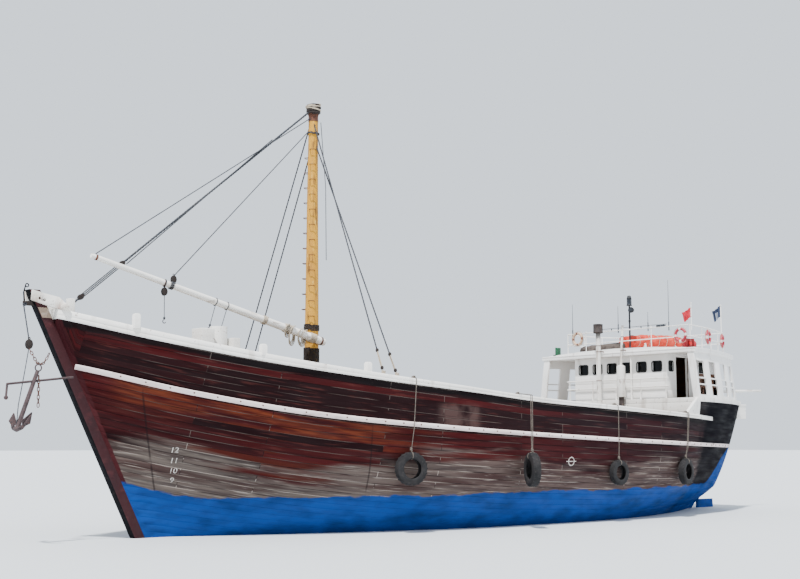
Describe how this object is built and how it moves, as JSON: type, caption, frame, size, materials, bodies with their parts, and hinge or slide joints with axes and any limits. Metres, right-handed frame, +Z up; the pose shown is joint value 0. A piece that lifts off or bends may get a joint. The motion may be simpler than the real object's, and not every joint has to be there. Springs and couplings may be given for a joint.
{
  "type": "dhow sailing boat",
  "caption": "Wooden cargo dhow with a high raked bow, one mast with a cargo boom, open deck with a hatch, and a wheelhouse on the poop.",
  "frame": {"origin": "centreline amidships at the waterplane of the empty boat", "axes": "+X towards the bow, +Y to port, +Z up"},
  "size_m": [33.6715, 9.7469, 15.77],
  "materials": {
    "hull_wood": "varnished planking, worn",
    "black_paint": "dark paint on wood, dull",
    "keel_blue": "blue bottom paint",
    "bronze": "cast bronze",
    "white_paint": "white oil paint on wood, grimy",
    "deck_wood": "bare deck planks",
    "white_metal": "white paint on pipe",
    "yellow_paint": "yellow paint on the pole",
    "rusty_iron": "rusty iron",
    "rope": "twisted rope",
    "rubber": "old tyre rubber",
    "glass": "window glass",
    "orange_cover": "orange cover cloth",
    "orange_ring": "orange and white lifebuoy",
    "red_lamp": "red side lamp",
    "green_lamp": "green side lamp",
    "red_cloth": "flag cloth",
    "blue_cloth": "flag cloth"
  },
  "bodies": {
    "boat": {"hull": "hull_wood", "prow": "black_paint", "stem_post": "black_paint", "keel": "keel_blue", "stern_post": "keel_blue", "bulwark_port": "hull_wood", "bulwark_starboard": "hull_wood", "cap_rail_port": "white_paint", "cap_rail_starboard": "white_paint", "rub_rail_port": "white_paint", "rub_rail_starboard": "white_paint", "foredeck": "deck_wood", "bow_boards": "white_paint", "bow_bitt": "white_paint", "deck_box": "white_paint", "deck_chest": "white_paint", "deck_drum": "white_metal", "hatch_coaming": "deck_wood", "mast": "yellow_paint", "mast_head": "rusty_iron", "forestay": "rope", "shroud_fore_port": "rope", "shroud_fore_starboard": "rope", "shroud_aft_port": "rope", "shroud_aft_starboard": "rope", "anchor": "rusty_iron", "anchor_stock": "rusty_iron", "anchor_tackle": "rope", "tyre_1": "rubber", "tyre_2": "rubber", "tyre_3": "rubber", "tyre_4": "rubber", "poop": "black_paint", "poop_band": "white_paint", "wheelhouse_walls": "white_paint", "front_glass": "glass", "wheelhouse_roof": "white_paint", "gallery_screen_port": "white_paint", "gallery_screen_starboard": "white_paint", "exhaust_main": "white_metal", "exhaust_second": "white_metal", "roof_rail": "white_metal", "life_raft": "orange_cover", "lifebuoy_fore_starboard": "orange_ring", "lifebuoy_fore_port": "orange_ring", "lifebuoy_side_fore": "orange_ring", "lifebuoy_side_aft": "orange_ring", "lantern_mast": "black_paint", "lamp_port": "red_lamp", "lamp_starboard": "green_lamp", "flag_fore": "red_cloth", "flag_aft": "blue_cloth", "stern_box": "white_paint", "stern_spar": "white_paint"},
    "boom": {"boom": "white_paint", "boom_lift": "rope"},
    "rudder": {"rudder": "keel_blue"},
    "propeller": {"propeller": "bronze"},
    "door_port": {"wheelhouse_door_port": "white_paint"},
    "door_starboard": {"wheelhouse_door_starboard": "white_paint"}
  },
  "joints": [
    {"name": "boom_slew", "type": "hinge", "parent": "boat", "child": "boom", "pos_m": [5.25, 0, 6.01], "axis": [0, 0, 1], "range_deg": [0, 70]},
    {"name": "rudder_turn", "type": "hinge", "parent": "boat", "child": "rudder", "pos_m": [-15.15, 0, -0.7], "axis": [0, 0, 1], "range_deg": [-35, 35]},
    {"name": "propeller_spin", "type": "hinge", "parent": "boat", "child": "propeller", "pos_m": [-14.72, 0, -0.78], "axis": [1, 0, 0], "continuous": true},
    {"name": "door_port_swing", "type": "hinge", "parent": "boat", "child": "door_port", "pos_m": [-11.515, 2.37, 5.2], "axis": [0, 0, 1], "range_deg": [-178, 0]},
    {"name": "door_starboard_swing", "type": "hinge", "parent": "boat", "child": "door_starboard", "pos_m": [-11.515, -2.37, 5.2], "axis": [0, 0, 1], "range_deg": [-178, 0]}
  ]
}
